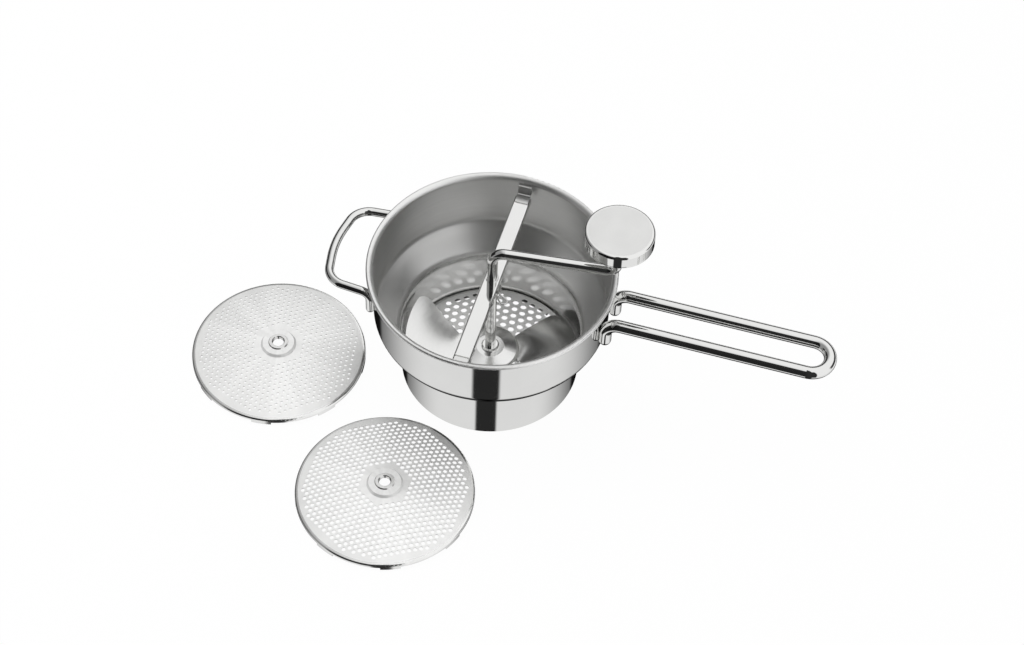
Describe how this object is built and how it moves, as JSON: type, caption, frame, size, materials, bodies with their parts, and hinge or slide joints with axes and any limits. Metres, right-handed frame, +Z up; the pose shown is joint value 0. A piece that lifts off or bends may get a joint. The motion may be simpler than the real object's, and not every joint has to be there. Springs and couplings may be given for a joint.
{
  "type": "food mill",
  "caption": "Hand-cranked food mill: stepped steel bowl with a sprung crossbar, a crank with a flat round knob and a winged blade, and two handles; spare sieve discs beside it.",
  "frame": {"origin": "on the bowl's axis, in the plane that its foot stands on", "axes": "+X from the bowl's axis along the long handle, +Z up, the crossbar lies along Y"},
  "size_m": [0.5438, 0.3396, 0.1973],
  "materials": {
    "bowl_steel": "polished stainless steel outside, brushed inside and on the rim",
    "rod_steel": "mirror-polished stainless steel rod",
    "bar_steel": "polished stainless sheet",
    "blade_steel": "polished stainless sheet",
    "sieve_steel": "satin perforated stainless sheet",
    "turned_steel": "turned stainless steel",
    "spring_steel": "drawn spring steel",
    "knob_steel": "polished side, circular-brushed top",
    "bush_plastic": "white acetal bush"
  },
  "bodies": {
    "bowl": {"bowl": "bowl_steel", "front_hook": "bar_steel", "rear_hook": "bar_steel", "long_handle": "rod_steel", "loop_handle": "rod_steel", "coarse_sieve": "sieve_steel", "coarse_sieve_hub": "turned_steel"},
    "crossbar": {"crossbar": "bar_steel", "bar_bush": "bar_steel"},
    "crank": {"crank_rod": "rod_steel", "spring": "spring_steel", "spring_washer": "spring_steel", "shaft_clip": "spring_steel", "blade": "blade_steel", "blade_ferrule": "turned_steel", "blade_pilot": "turned_steel", "knob_washer": "turned_steel", "pin_retainer": "spring_steel"},
    "knob": {"knob_cap": "knob_steel", "knob_base": "knob_steel", "knob_bush": "bush_plastic"},
    "medium_sieve": {"medium_sieve": "sieve_steel", "medium_sieve_hub": "turned_steel"},
    "fine_sieve": {"fine_sieve": "sieve_steel", "fine_sieve_hub": "turned_steel"}
  },
  "joints": [
    {"name": "crank_turn", "type": "hinge", "parent": "bowl", "child": "crank", "pos_m": [0, 0, 0.1], "axis": [0, 0, 1], "continuous": true},
    {"name": "knob_spin", "type": "hinge", "parent": "crank", "child": "knob", "pos_m": [0.10204, 0.01163, 0.19], "axis": [0, 0, 1], "continuous": true},
    {"name": "bar_press", "type": "slide", "parent": "bowl", "child": "crossbar", "axis": [0, 0, -1], "range_m": [0, 0.0025], "stiffness_N_per_m": 2000, "springref_m": -0.002, "deforming": ["spring"]},
    {"name": "lift_medium", "type": "slide", "parent": "bowl", "child": "medium_sieve", "axis": [0, 0, 1], "range_m": [0, 0.05]},
    {"name": "lift_fine", "type": "slide", "parent": "bowl", "child": "fine_sieve", "axis": [0, 0, 1], "range_m": [0, 0.05]}
  ]
}
